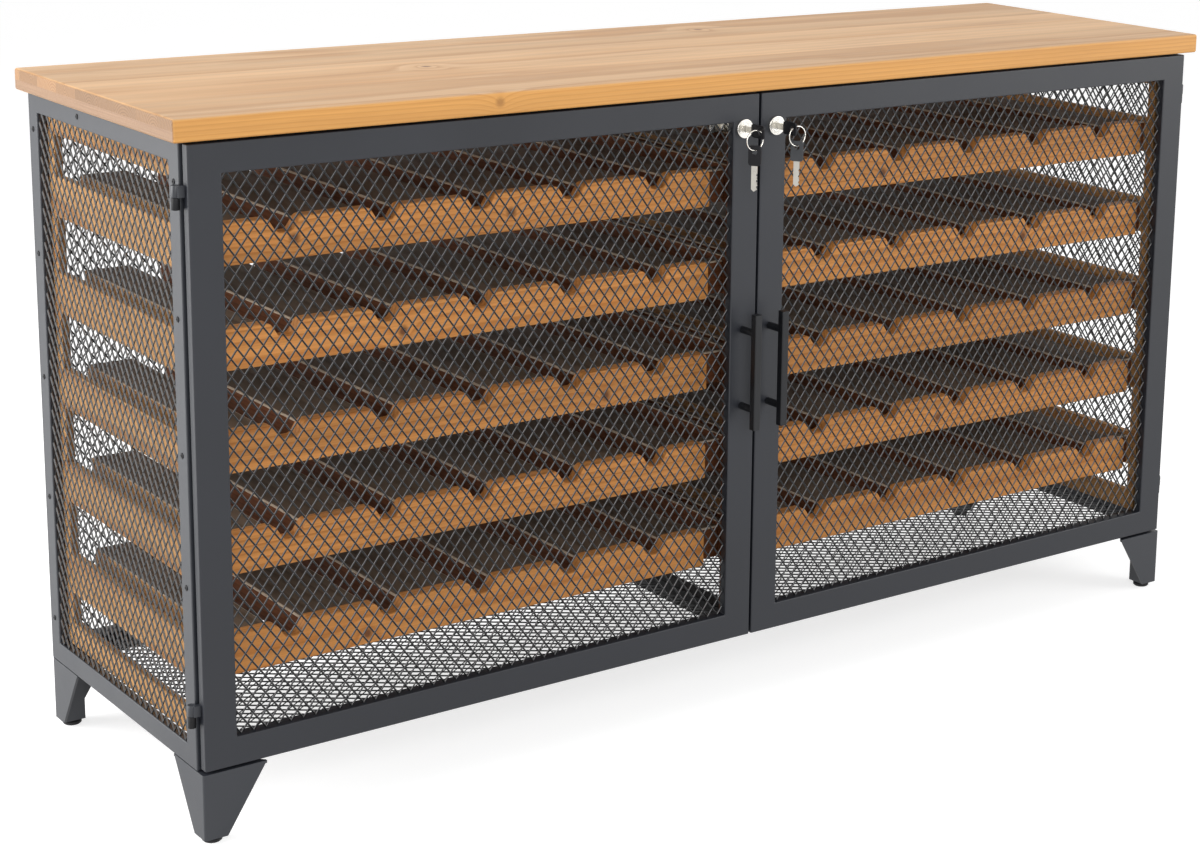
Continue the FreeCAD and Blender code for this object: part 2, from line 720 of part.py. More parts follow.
    key = key_body("Key")
    key.Placement = FreeCAD.Placement(FreeCAD.Vector(), upright_key)
    keep(f"{side_name}_key", place(key, lock_x, "key_hole_y", "lock_height"))
    ring = new_body("Ring")
    wire = new_sketch(ring, "XY_Plane")
    rectangle(wire, ("ring_radius - ring_wire", "ring_radius + ring_wire"), ("-ring_wire", "ring_wire"))
    turned = ring.newObject("PartDesign::Revolution", "Revolution")
    turned.Profile = wire
    turned.ReferenceAxis = (wire, ["V_Axis"])
    ring_x = f"{side} * (lock_offset + ring_side)"
    keep(f"{side_name}_key_ring", place(ring, ring_x, "key_hole_y", "ring_height"))
    spare = key_body("SpareKey")
    spare.Placement = FreeCAD.Placement(FreeCAD.Vector(), twisted_key)
    keep(f"{side_name}_spare_key", place(spare, ring_x, "key_hole_y", "spare_height"))

doc.recompute()
for item in doc.Objects:
    if "Invalid" in item.State or "Error" in item.State:
        raise ValueError(f"{item.Label} did not compute: {item.State}")

os.makedirs("parts", exist_ok=True)
for name, item in nodes.items():
    if item.Shape.isNull() or not item.Shape.isValid():
        raise ValueError(f"{name} has no valid shape")
    item.Shape.exportStep(f"parts/{name}.step")
print(len(nodes), "nodes written")
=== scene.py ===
import bmesh
import bpy
import json
import math
from mathutils import Matrix, Vector


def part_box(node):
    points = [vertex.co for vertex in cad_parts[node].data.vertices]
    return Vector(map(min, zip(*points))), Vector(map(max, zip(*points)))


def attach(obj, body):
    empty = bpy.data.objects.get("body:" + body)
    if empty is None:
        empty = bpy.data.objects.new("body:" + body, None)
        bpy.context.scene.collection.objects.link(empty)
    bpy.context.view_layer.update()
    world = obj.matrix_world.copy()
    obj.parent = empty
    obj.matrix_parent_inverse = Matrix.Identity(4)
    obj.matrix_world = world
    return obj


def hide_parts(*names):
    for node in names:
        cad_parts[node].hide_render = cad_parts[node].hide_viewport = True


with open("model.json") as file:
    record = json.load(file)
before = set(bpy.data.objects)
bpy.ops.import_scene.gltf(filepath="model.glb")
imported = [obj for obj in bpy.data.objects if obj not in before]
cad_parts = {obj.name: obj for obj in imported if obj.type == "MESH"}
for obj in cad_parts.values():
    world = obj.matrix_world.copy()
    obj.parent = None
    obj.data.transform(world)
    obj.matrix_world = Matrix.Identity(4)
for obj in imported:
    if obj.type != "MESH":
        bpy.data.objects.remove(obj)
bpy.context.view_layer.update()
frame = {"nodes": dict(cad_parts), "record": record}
print("frame loaded", len(frame["nodes"]), "nodes")

mm = 0.001
sides = {"left": -1, "right": 1}


# small helpers for shader trees

def newMaterial(name):
    material = bpy.data.materials.new(name)
    material.use_nodes = True
    tree = material.node_tree
    tree.nodes.clear()
    output = tree.nodes.new("ShaderNodeOutputMaterial")
    shader = tree.nodes.new("ShaderNodeBsdfPrincipled")
    tree.links.new(shader.outputs["BSDF"], output.inputs["Surface"])
    return material, tree, shader


def put(tree, socket, value):
    if isinstance(value, bpy.types.NodeSocket):
        tree.links.new(value, socket)
    else:
        socket.default_value = value


def maths(tree, operation, *values):
    node = tree.nodes.new("ShaderNodeMath")
    node.operation = operation
    for socket, value in zip(node.inputs, values):
        put(tree, socket, value)
    return node.outputs[0]


def combine(tree, x, y, z):
    node = tree.nodes.new("ShaderNodeCombineXYZ")
    for socket, value in zip(node.inputs, (x, y, z)):
        put(tree, socket, value)
    return node.outputs[0]


def noise(tree, vector, scale, detail=4.0, roughness=0.55):
    node = tree.nodes.new("ShaderNodeTexNoise")
    put(tree, node.inputs["Vector"], vector)
    node.inputs["Scale"].default_value = scale
    node.inputs["Detail"].default_value = detail
    node.inputs["Roughness"].default_value = roughness
    return node.outputs["Fac"]


def ramp(tree, factor, stops):
    node = tree.nodes.new("ShaderNodeValToRGB")
    put(tree, node.inputs["Fac"], factor)
    elements = node.color_ramp.elements
    while len(elements) < len(stops):
        elements.new(0.5)
    for element, (place, colour) in zip(elements, stops):
        element.position = place
        element.color = (*colour, 1.0)
    return node.outputs["Color"]


def mixColour(tree, factor, a, b, blend="MIX"):
    node = tree.nodes.new("ShaderNodeMix")
    node.data_type = "RGBA"
    node.blend_type = blend
    put(tree, node.inputs["Factor"], factor)
    put(tree, node.inputs["A"], a if isinstance(a, bpy.types.NodeSocket) else (*a, 1.0))
    put(tree, node.inputs["B"], b if isinstance(b, bpy.types.NodeSocket) else (*b, 1.0))
    return node.outputs["Result"]


def bump(tree, height, strength, distance):
    node = tree.nodes.new("ShaderNodeBump")
    node.inputs["Strength"].default_value = strength
    node.inputs["Distance"].default_value = distance
    put(tree, node.inputs["Height"], height)
    return node.outputs["Normal"]


def separate(tree, vector):
    node = tree.nodes.new("ShaderNodeSeparateXYZ")
    tree.links.new(vector, node.inputs[0])
    return node.outputs


def place(tree):
    point = tree.nodes.new("ShaderNodeTexCoord").outputs["Object"]
    return point, separate(tree, point)


def hypotenuse(tree, a, b):
    squares = maths(tree, "ADD", maths(tree, "MULTIPLY", a, a), maths(tree, "MULTIPLY", b, b))
    return maths(tree, "SQRT", squares)


def distance(tree, point, spot):
    node = tree.nodes.new("ShaderNodeVectorMath")
    node.operation = "DISTANCE"
    tree.links.new(point, node.inputs[0])
    node.inputs[1].default_value = spot
    return node.outputs["Value"]


def remap(tree, value, low, high, newLow, newHigh):
    node = tree.nodes.new("ShaderNodeMapRange")
    put(tree, node.inputs["Value"], value)
    for name, number in (("From Min", low), ("From Max", high), ("To Min", newLow), ("To Max", newHigh)):
        node.inputs[name].default_value = number
    return node.outputs["Result"]


def tinted(tree, colour, tint):
    return mixColour(tree, 1.0, colour, tint, "MULTIPLY")


# number of the stave at a point, and three values drawn for it
def staveChance(tree, across, look):
    stave = maths(tree, "FLOOR", maths(tree, "DIVIDE", across, look["stave"]))
    dice = tree.nodes.new("ShaderNodeTexWhiteNoise")
    dice.noise_dimensions = "1D"
    put(tree, dice.inputs["W"], maths(tree, "ADD", stave, look["seed"]))
    return stave, separate(tree, dice.outputs["Color"])


# sawn end of the top: staves of end grain over a plain strip along the lower edge
endShape = {"pithRange": 2, "pithLow": -0.6, "tint": (0.45, 0.74), "strip": (9.0, 600.0)}


def endGrain(tree, axes, look):
    across, up = axes[1], axes[2]
    stave, chance = staveChance(tree, across, look)
    middle = maths(tree, "MULTIPLY", maths(tree, "ADD", stave, chance[0]), look["stave"])
    dx = maths(tree, "SUBTRACT", across, middle)
    pith = maths(tree, "MULTIPLY_ADD", chance[1], look["pith"] * endShape["pithRange"],
                 look["pith"] * endShape["pithLow"])
    dz = maths(tree, "ADD", maths(tree, "SUBTRACT", up, look["split"]), pith)
    ring = maths(tree, "FRACT", maths(tree, "DIVIDE", hypotenuse(tree, dx, dz), look["ring"]))
    tint = maths(tree, "MULTIPLY_ADD", chance[2], *endShape["tint"])
    upper = tinted(tree, ramp(tree, ring, look["rings"]), combine(tree, tint, tint, tint))
    coarse, fine = endShape["strip"]
    stripPoint = combine(tree, 0.0, maths(tree, "MULTIPLY", across, coarse),
                         maths(tree, "MULTIPLY", up, fine))
    lower = ramp(tree, noise(tree, stripPoint, 1.0), look["strip"])
    return mixColour(tree, maths(tree, "GREATER_THAN", up, look["split"]), lower, upper)


# fir: growth rings round a pith below each stave, drawn out along the grain
# each pattern has its waves per metre along the grain and across it, its detail and its roughness
# a band holds the values of a pattern between which a tint or a stain rises
firShape = {
    "drift": (1.3, 7.0, 3.0, 0.55), "fibre": (6.0, 520.0, 3.0, 0.6), "streak": (1.1, 60.0, 4.0, 0.5),
    "stain": (2.2, 26.0, 5.0, 0.62), "pores": (22.0, 900.0, 2.0, 0.5),
    "fibreBand": (0.3, 0.7), "streakBand": (0.25, 0.75), "stainBand": (0.54, 0.72), "poreBand": (0.60, 0.74),
    "shift": 7.0, "pithSide": (2.4, -0.7), "pithDrop": 0.25, "lightFibre": 0.6, "lightStreak": 0.7,
    "knotPull": 0.8, "knotHeart": 0.35, "knotDepth": 0.85,
    # bounds for the painted light: faces counted as looking up take the lit tint, and bevels in the slope
    # band a painted highlight
    "upward": (0.4, 0.95), "rimHighlightSlope": (0.2, 0.98), "endward": (0.5, 0.9),
    "roughRange": 0.08, "fibreRelief": 0.6, "ringRelief": 0.4, "reliefDepth": 0.6 * mm,
}


def firMaterial(name, look):
    material, tree, shader = newMaterial(name)
    point, axes = place(tree)
    along, across, up = (axes[i] for i in look["axes"])
    stave, chance = staveChance(tree, across, look)
    shift = maths(tree, "MULTIPLY", chance[0], firShape["shift"])

    def pattern(kind):
        coarse, fine, detail, roughness = firShape[kind]
        stretched = combine(tree, maths(tree, "MULTIPLY_ADD", along, coarse, shift),
                            maths(tree, "MULTIPLY", across, fine), maths(tree, "MULTIPLY", up, fine))
        return noise(tree, stretched, 1.0, detail, roughness)

    localAcross = maths(tree, "SUBTRACT", across, maths(tree, "MULTIPLY", stave, look["stave"]))
    sideRange, sideLow = firShape["pithSide"]
    pithSide = maths(tree, "MULTIPLY_ADD", chance[1], look["stave"] * sideRange, look["stave"] * sideLow)
    pithDrop = maths(tree, "MULTIPLY_ADD", chance[2], look["pith"], look["pith"] * firShape["pithDrop"])
    sway = maths(tree, "MULTIPLY", maths(tree, "SUBTRACT", pattern("drift"), 0.5), look["sway"])
    dx = maths(tree, "ADD", maths(tree, "SUBTRACT", localAcross, pithSide), sway)
    dz = maths(tree, "ADD", maths(tree, "ADD", up, pithDrop), sway)
    radius = hypotenuse(tree, dx, dz)
    for knot in look["knots"]:
        fall = maths(tree, "MULTIPLY", distance(tree, point, knot), -1 / look["knotReach"])
        pull = maths(tree, "POWER", math.e, fall)
        radius = maths(tree, "MULTIPLY_ADD", pull, look["knotReach"] * firShape["knotPull"], radius)
    ring = maths(tree, "FRACT", maths(tree, "DIVIDE", radius, look["ring"]))
    fibre = pattern("fibre")
    streak = pattern("streak")
    tint = remap(tree, fibre, *firShape["fibreBand"], 1.0 - look["fibre"],
                 1.0 + look["fibre"] * firShape["lightFibre"])
    streakTint = remap(tree, streak, *firShape["streakBand"], 1.0 - look["streak"],
                       1.0 + look["streak"] * firShape["lightStreak"])
    staveTint = maths(tree, "MULTIPLY_ADD", chance[2], look["jitter"], 1 - look["jitter"] / 2)
    tint = maths(tree, "MULTIPLY", maths(tree, "MULTIPLY", tint, streakTint), staveTint)
    colour = tinted(tree, ramp(tree, ring, look["rings"]), combine(tree, tint, tint, tint))
    if "stain" in look:
        clouds = remap(tree, pattern("stain"), *firShape["stainBand"], 0.0, look["stainShare"])
        colour = mixColour(tree, clouds, colour, look["stain"])
        pores = remap(tree, pattern("pores"), *firShape["poreBand"], 0.0, look["poreShare"])
        colour = mixColour(tree, pores, colour, look["stain"])
    for knot in look["knots"]:
        heartSize = look["knotSize"] * firShape["knotHeart"]
        heart = remap(tree, distance(tree, point, knot), heartSize, look["knotSize"],
                      firShape["knotDepth"], 0.0)
        colour = mixColour(tree, heart, colour, look["knotColour"])
    # painted light: faces looking up take the lit-top tint, all other faces a painted-shade tint over calmer
    # grain
    if "face" in look:
        geometry = tree.nodes.new("ShaderNodeNewGeometry")
        normal = separate(tree, geometry.outputs["Normal"])
        upward = remap(tree, normal[2], *firShape["upward"], 0.0, 1.0)
        edge = mixColour(tree, look["calm"], colour, look["rings"][0][1])
        edge = tinted(tree, edge, look["edge"])
        colour = mixColour(tree, upward, edge, tinted(tree, colour, look["face"]))
        # bevels of middling slope take a painted highlight
        if "rimHighlight" in look:
            slope = separate(tree, geometry.outputs["True Normal"])[2]
            least, most = firShape["rimHighlightSlope"]
            rimHighlight = maths(tree, "MULTIPLY", maths(tree, "GREATER_THAN", slope, least),
                        maths(tree, "LESS_THAN", slope, most))
            colour = mixColour(tree, rimHighlight, colour, look["rimHighlight"])
        if "end" in look:
            ends = remap(tree, maths(tree, "ABSOLUTE", normal[0]), *firShape["endward"], 0.0, 1.0)
            colour = mixColour(tree, ends, colour, endGrain(tree, axes, look["end"]))
    put(tree, shader.inputs["Base Color"], colour)
    put(tree, shader.inputs["Roughness"], remap(tree, fibre, *firShape["fibreBand"],
                                                look["rough"] - firShape["roughRange"],
                                                look["rough"] + firShape["roughRange"]))
    shader.inputs["Specular IOR Level"].default_value = look["gloss"]
    height = maths(tree, "ADD", maths(tree, "MULTIPLY", fibre, firShape["fibreRelief"]),
                   maths(tree, "MULTIPLY", ring, firShape["ringRelief"]))
    put(tree, shader.inputs["Normal"], bump(tree, height, look["relief"], firShape["reliefDepth"]))
    return material


topLook = {
    "axes": (0, 1, 2), "stave": 0.086, "seed": 3.0, "pith": 0.09, "sway": 0.010, "ring": 0.0052,
    "rings": [(0.0, (0.60, 0.37, 0.185)), (0.55, (0.57, 0.34, 0.16)), (0.88, (0.47, 0.25, 0.10)),
              (1.0, (0.56, 0.34, 0.165))],
    "fibre": 0.12, "streak": 0.16, "jitter": 0.22, "rough": 0.48, "gloss": 0.35, "relief": 0.25,
    # painted light: the top face takes a paler lit tint, the sides a darker, warmer painted-shade tint with
    # calmer grain
    "face": (0.96, 0.97, 1.01), "edge": (0.97, 0.79, 0.44), "calm": 0.40,
    "stain": (0.36, 0.185, 0.075), "stainShare": 0.55, "poreShare": 0.40,
    "end": {"stave": 0.054, "seed": 44.0, "split": 0.7872, "pith": 0.014, "ring": 0.0034,
            "rings": [(0.0, (0.28, 0.152, 0.066)), (0.65, (0.245, 0.13, 0.054)), (0.9, (0.15, 0.068, 0.026)),
                      (1.0, (0.255, 0.14, 0.062))],
            "strip": [(0.3, (0.20, 0.112, 0.058)), (0.7, (0.265, 0.155, 0.085))]},
    "knots": [(-0.366, -0.198, 0.789), (0.16, 0.16, 0.80), (-0.335, 0.02, 0.80)],
    "knotReach": 0.016, "knotSize": 0.0075, "knotColour": (0.15, 0.06, 0.022),
}
rackLook = {
    "axes": (1, 2, 0), "stave": 0.114, "seed": 9.0, "pith": 0.05, "sway": 0.012, "ring": 0.006,
    "rings": [(0.0, (0.48, 0.258, 0.098)), (0.6, (0.448, 0.231, 0.081)), (0.9, (0.33, 0.148, 0.046)),
              (1.0, (0.437, 0.226, 0.080))],
    "fibre": 0.16, "streak": 0.22, "jitter": 0.16, "rough": 0.6, "gloss": 0.25, "relief": 0.3,
    "knots": [],
}
trayLook = {
    "axes": (0, 2, 1), "stave": 0.114, "seed": 21.0, "pith": 0.06, "sway": 0.014, "ring": 0.0062,
    "rings": [(0.0, (0.605, 0.266, 0.074)), (0.55, (0.583, 0.249, 0.065)), (0.88, (0.466, 0.175, 0.039)),
              (1.0, (0.572, 0.24, 0.061))],
    "fibre": 0.16, "streak": 0.24, "jitter": 0.22, "rough": 0.55, "gloss": 0.3, "relief": 0.3,
    "knots": [(-0.60, -0.162, 0.655), (-0.33, -0.162, 0.655), (-0.47, -0.162, 0.535), (-0.20, -0.162, 0.42),
              (0.22, -0.162, 0.65), (0.47, -0.162, 0.54), (0.33, -0.162, 0.31), (-0.52, -0.162, 0.19)],
    "knotReach": 0.014, "knotSize": 0.0085, "knotColour": (0.10, 0.032, 0.012),
}
# slats: a grey-brown wood darkened further with painted shade; faces not looking up take a darker, redder
# painted-shade tint, and bevels a painted highlight
shadedSlatLook = {
    "axes": (1, 0, 2), "stave": 0.121, "seed": 5.0, "pith": 0.06, "sway": 0.012, "ring": 0.006,
    "rings": [(0.0, (0.145, 0.102, 0.072)), (0.55, (0.133, 0.092, 0.063)), (0.88, (0.094, 0.062, 0.039)),
              (1.0, (0.128, 0.089, 0.061))],
    "fibre": 0.14, "streak": 0.16, "jitter": 0.16, "rough": 0.7, "gloss": 0.10, "relief": 0.3,
    "face": (1.0, 1.0, 1.0), "edge": (1.0, 0.50, 0.29), "calm": 0.2, "rimHighlight": (0.46, 0.37, 0.28),
    "knots": [],
}


# powder coat, bright metal and moulded plastic
coatShape = {"cloudNoise": (5.0, 0.6), "peelNoise": (2.0, 0.5), "band": (0.3, 0.7),
             "roughLow": -0.05, "roughHigh": 0.06, "reliefDepth": 0.4 * mm}


def coatMaterial(name, look):
    material, tree, shader = newMaterial(name)
    point = place(tree)[0]
    cloud = noise(tree, point, look["cloud"], *coatShape["cloudNoise"])
    grainy = noise(tree, point, look["peel"], *coatShape["peelNoise"])
    least, most = coatShape["band"]
    low = tuple(c * (1 - look["vary"]) for c in look["colour"])
    high = tuple(c * (1 + look["vary"]) for c in look["colour"])
    put(tree, shader.inputs["Base Color"], ramp(tree, cloud, [(least, low), (most, high)]))
    put(tree, shader.inputs["Roughness"], remap(tree, cloud, least, most,
                                                look["rough"] + coatShape["roughLow"],
                                                look["rough"] + coatShape["roughHigh"]))
    shader.inputs["Specular IOR Level"].default_value = look["gloss"]
    shader.inputs["Metallic"].default_value = look.get("metal", 0.0)
    put(tree, shader.inputs["Normal"], bump(tree, grainy, look["relief"], coatShape["reliefDepth"]))
    return material


steelLook = {"colour": (0.014, 0.016, 0.021), "vary": 0.08, "cloud": 6.0, "peel": 700.0, "rough": 0.42,
             "gloss": 0.5, "relief": 0.10}
# door fronts: a darker, less glossy copy of the carcass coat, the extra darkness being painted shade
shadedDoorLook = dict(steelLook, colour=(0.009, 0.0105, 0.015), gloss=0.43)
blackLook = dict(steelLook, colour=(0.008, 0.008, 0.009), rough=0.5, gloss=0.18)
# the net: its black coat darkened further with painted shade; the upper strand edges take a painted highlight
netLook = dict(steelLook, colour=(0.007, 0.0073, 0.008), rough=0.36, gloss=0.28, peel=500.0)
netEdgeHighlightLook = dict(netLook, colour=(0.20, 0.20, 0.205), gloss=0.5)
handleLook = dict(steelLook, colour=(0.005, 0.0055, 0.007), rough=0.40, gloss=0.32)
nickelLook = {"colour": (0.80, 0.775, 0.72), "vary": 0.05, "cloud": 90.0, "peel": 900.0, "rough": 0.20,
              "gloss": 0.5, "relief": 0.05, "metal": 1.0}
bladeLook = dict(nickelLook, colour=(0.46, 0.44, 0.40), rough=0.30)
bowLook = {"colour": (0.006, 0.006, 0.008), "vary": 0.12, "cloud": 60.0, "peel": 1200.0, "rough": 0.36,
           "gloss": 0.22, "relief": 0.12}
greyBowLook = dict(bowLook, colour=(0.055, 0.058, 0.063))
glideLook = dict(bowLook, colour=(0.013, 0.013, 0.014), rough=0.55)

materials = {
    "top": firMaterial("topFir", topLook),
    "rack": firMaterial("rackFir", rackLook),
    "tray": firMaterial("trayFir", trayLook),
    "shadedSlat": firMaterial("shadedSlatFir", shadedSlatLook),
    "steel": coatMaterial("carcassCoat", steelLook),
    "door": coatMaterial("shadedDoorCoat", shadedDoorLook),
    "handle": coatMaterial("handleCoat", handleLook),
    "black": coatMaterial("baseCoat", blackLook),
    "net": coatMaterial("netCoat", netLook),
    "netEdgeHighlight": coatMaterial("netEdgeHighlight", netEdgeHighlightLook),
    "nickel": coatMaterial("nickel", nickelLook),
    "blade": coatMaterial("keyBlade", bladeLook),
    "bow": coatMaterial("keyBow", bowLook),
    "greyBow": coatMaterial("greyKeyBow", greyBowLook),
    "glide": coatMaterial("glide", glideLook),
}
slotMaterials = {
    "top_wood": "top", "rack_wood": "rack", "tray_wood": "tray", "carcass_steel": "steel",
    "door_steel": "door", "base_steel": "black", "mesh_steel": "net", "handle_steel": "handle",
    "hinge_steel": "steel", "lock_nickel": "nickel", "ring_nickel": "nickel", "key_plastic": "bow",
    "foot_plastic": "glide",
}
nodeSlots = {entry["node"]: entry["material_slot"] for entry in frame["record"]["subparts"]}
nodeBodies = {node: body for body, nodes in frame["record"]["behaviour"]["bodies"].items() for node in nodes}


def paint(item, material):
    item.data.materials.clear()
    item.data.materials.append(materials[material])


for name, item in frame["nodes"].items():
    paint(item, slotMaterials[nodeSlots[name]])
for side in sides:
    paint(frame["nodes"][f"{side}_frame_hinges"], "black")
print("materials", len(materials))


# pieces made here: each rides on the body of its node, and may stand in for nodes
def settle(item, node, replaced):
    bpy.context.collection.objects.link(item)
    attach(item, nodeBodies[node])
    if replaced:
        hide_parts(*replaced)
    return item


def addPiece(name, vertices, faces, material, node, smooth=False, replaced=()):
    mesh = bpy.data.meshes.new(name)
    mesh.from_pydata([tuple(v) for v in vertices], [], faces)
    mesh.validate()
    mesh.materials.append(materials[material])
    if smooth:
        mesh.polygons.foreach_set("use_smooth", [True] * len(mesh.polygons))
    return settle(bpy.data.objects.new(name, mesh), node, replaced)


# edges sharper than this angle are broken
softShape = {"angle": 40}


def soften(item, width, segments=3):
    bevel = item.modifiers.new("edge", "BEVEL")
    bevel.width = width
    bevel.segments = segments
    bevel.limit_method = "ANGLE"
    bevel.angle_limit = math.radians(softShape["angle"])
    bevel.harden_normals = True
    return item


# plate with a window, from low to high: both outlines run counterclockwise, seen from the low side
def outlineMesh(outer, inner, low, high, lay):
    count = len(outer)
    vertices = [lay(a, b, depth) for depth in (low, high) for a, b in outer + inner]
    faces = []
    for i in range(count):
        k = (i + 1) % count
        faces.append((i, k, count + k, count + i))
        faces.append((2 * count + i, 3 * count + i, 3 * count + k, 2 * count + k))
        faces.append((i, 2 * count + i, 2 * count + k, k))
        faces.append((count + i, count + k, 3 * count + k, 3 * count + i))
    return vertices, faces


# skin between one ring of points and the ring before it
def sleeveFaces(row, steps):
    base = (row - 1) * steps
    following = [(k + 1) % steps for k in range(steps)]
    return [(base + k, base + n, base + steps + n, base + steps + k) for k, n in enumerate(following)]


def corners(low, high):
    return [(low[0], low[1]), (high[0], low[1]), (high[0], high[1]), (low[0], high[1])]


# expanded metal at its true pitch: strands leaning between the knots of a diamond lattice
netShape = {"wide": 14.9 * mm, "tall": 20.0 * mm, "strand": 1.9 * mm, "sheet": 1.1 * mm,
            "lean": 24, "baseLean": -50}


def expandedNet(name, node, along, up, wide=netShape["wide"], tall=netShape["tall"], lean=netShape["lean"]):
    low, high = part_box(node)
    span = high - low
    # half diamonds along and up the sheet
    countA = 2 * round(span.dot(along) / wide)
    countU = 2 * round(span.dot(up) / tall)
    stepA = along * (span.dot(along) / countA)
    stepU = up * (span.dot(up) / countU)
    normal = along.cross(up)
    start = Vector(low) + normal * (span.dot(normal) / 2)
    tip = math.radians(lean)
    vertices = []
    faces = []
    caps = []
    for slope in (1, -1):
        flat = normal.cross((stepA + stepU * slope).normalized())
        broad = (flat * math.cos(tip) + normal * math.sin(tip)) * netShape["strand"] / 2
        thick = (normal * math.cos(tip) - flat * math.sin(tip)) * netShape["sheet"] / 2
        ring = (broad - thick, broad + thick, thick - broad, -broad - thick)
        firstRow, lastRow = (0, countU) if slope > 0 else (countU, 0)
        for i in range(countA):
            for j in range(countU + 1):
                end = j + slope
                if (i + j) % 2 == 0 or end < 0 or end > countU:
                    continue
                first = len(vertices)
                for spot in (start + stepA * i + stepU * j, start + stepA * (i + 1) + stepU * end):
                    vertices += [spot + v for v in ring]
                for k in range(4):
                    n = (k + 1) % 4
                    faces.append((first + k, first + n, first + 4 + n, first + 4 + k))
                # strands are closed where they end at the border of the sheet
                if i == 0 or j == firstRow:
                    caps.append((first + 3, first + 2, first + 1, first))
                if i + 1 == countA or end == lastRow:
                    caps.append((first + 4, first + 5, first + 6, first + 7))
    item = addPiece(name, vertices, faces + caps, "net", node, replaced=[node])
    # the sheared upper edge of each strand takes a painted highlight
    item.data.materials.append(materials["netEdgeHighlight"])
    for polygon in item.data.polygons:
        polygon.material_index = 1 if polygon.index % 4 == 0 and polygon.index < len(faces) else 0
    return item


xAxis, yAxis, zAxis = Vector((1, 0, 0)), Vector((0, 1, 0)), Vector((0, 0, 1))
for side in sides:
    expandedNet(f"{side}DoorNet", f"{side}_door_mesh", xAxis, zAxis)
    expandedNet(f"{side}SideNet", f"{side}_side_mesh", yAxis, zAxis)
expandedNet("backNet", "back_mesh", xAxis, zAxis)
expandedNet("baseNet", "base_mesh", xAxis, yAxis, netShape["tall"], netShape["wide"], netShape["baseLean"])
print("expanded metal")

# door and side frames, welded and ground so that no joint shows
frameShape = {"edge": 1.6 * mm, "bars": ("hinge_stile", "meeting_stile", "top_rail", "bottom_rail"),
              "doorAxes": (0, 2, 1), "sideAxes": (2, 1, 0)}


# the first two axes lie in the frame, the third goes through it
def weldedFrame(name, nodes, window, material, axes):
    boxes = [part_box(node) for node in nodes]
    low = [min(box[0][i] for box in boxes) for i in axes]
    high = [max(box[1][i] for box in boxes) for i in axes]
    windowLow, windowHigh = ([corner[i] for i in axes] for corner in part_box(window))

    def lay(*values):
        spot = Vector((0, 0, 0))
        for axis, value in zip(axes, values):
            spot[axis] = value
        return spot

    outline, opening = corners(low, high), corners(windowLow, windowHigh)
    vertices, faces = outlineMesh(outline, opening, low[2], high[2], lay)
    soften(addPiece(name, vertices, faces, material, nodes[0], replaced=nodes), frameShape["edge"])


for side in sides:
    bars = [f"{side}_door_{bar}" for bar in frameShape["bars"]]
    weldedFrame(f"{side}DoorFrame", bars, f"{side}_door_mesh", "door", frameShape["doorAxes"])
for side in sides:
    weldedFrame(f"{side}SideFrame", [f"{side}_side_frame"], f"{side}_side_mesh", "steel",
                frameShape["sideAxes"])
print("frames")

# small turned metal gets its edges broken
turnedShape = {"lock_nickel": 0.5 * mm, "hinge_steel": 0.5 * mm, "weld": 0.02 * mm, "flat": 1}
for name, item in frame["nodes"].items():
    if nodeSlots[name] not in turnedShape:
        continue
    weld = item.modifiers.new("weld", "WELD")
    weld.merge_threshold = turnedShape["weld"]
    flatten = item.modifiers.new("flatten", "DECIMATE")
    flatten.decimate_type = "DISSOLVE"
    flatten.angle_limit = math.radians(turnedShape["flat"])
    soften(item, turnedShape[nodeSlots[name]], 2)

# the racks are made again with broken edges, each board on vertices of its own
rackShape = {"grid": 0.02 * mm, "flat": 1, "ladderEdge": 1.2 * mm, "trayEdge": 2.0 * mm, "board": 19 * mm,
             "margin": 40 * mm, "sideways": 0.9, "levels": range(1, 6)}


def separateBoards(source):
    made = bmesh.new()
    found = {}
    unpaired = set()
    for polygon in source.polygons:
        points = [source.vertices[index].co for index in polygon.vertices]
        spots = [tuple(round(value / rackShape["grid"]) for value in point) for point in points]
        if len(set(spots)) < len(spots):
            continue
        for spot, point in zip(spots, points):
            if spot not in found:
                found[spot] = made.verts.new(point)
        made.faces.new([found[spot] for spot in spots])
        unpaired ^= {frozenset((spots[i - 1], spots[i])) for i in range(len(spots))}
        # a closed skin ends one board
        if not unpaired:
            found = {}
    made.normal_update()
    flat = math.radians(rackShape["flat"])
    bmesh.ops.dissolve_limit(made, angle_limit=flat, verts=made.verts, edges=made.edges)
    made.normal_update()
    return made


def makeBoards(name, node, finishes, edge, choose):
    low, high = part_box(node)
    made = separateBoards(frame["nodes"][node].data)
    for face in made.faces:
        face.material_index = choose(face, low, high)
        face.smooth = False
    mesh = bpy.data.meshes.new(name)
    made.to_mesh(mesh)
    made.free()
    for finish in finishes:
        mesh.materials.append(materials[finish])
    return soften(settle(bpy.data.objects.new(name, mesh), node, [node]), edge, 2)


# tray slats are greyer than the boards in front of them and darkened with painted shade; their outward end
# faces, lit from the sides, keep the plain wood of the ladders
def trayFinish(face, low, high):
    middle = face.calc_center_median()
    if face.normal.x < -rackShape["sideways"] and middle.x < low.x + rackShape["margin"]:
        return 2
    if face.normal.x > rackShape["sideways"] and middle.x > high.x - rackShape["margin"]:
        return 2
    return 0 if min(v.co.y for v in face.verts) < low.y + rackShape["board"] else 1


for side in sides:
    for level in rackShape["levels"]:
        makeBoards(f"{side}Tray{level}", f"{side}_tray_{level}", ["tray", "shadedSlat", "rack"],
                   rackShape["trayEdge"], trayFinish)
    # inner ladders take the slat wood with its painted shade, outer ladders the plain rack wood
    for post, finish in (("inner", "shadedSlat"), ("outer", "rack")):
        makeBoards(f"{side}{post.capitalize()}Ladder", f"{side}_{post}_ladder", [finish],
                   rackShape["ladderEdge"], lambda face, low, high: 0)
print("racks")

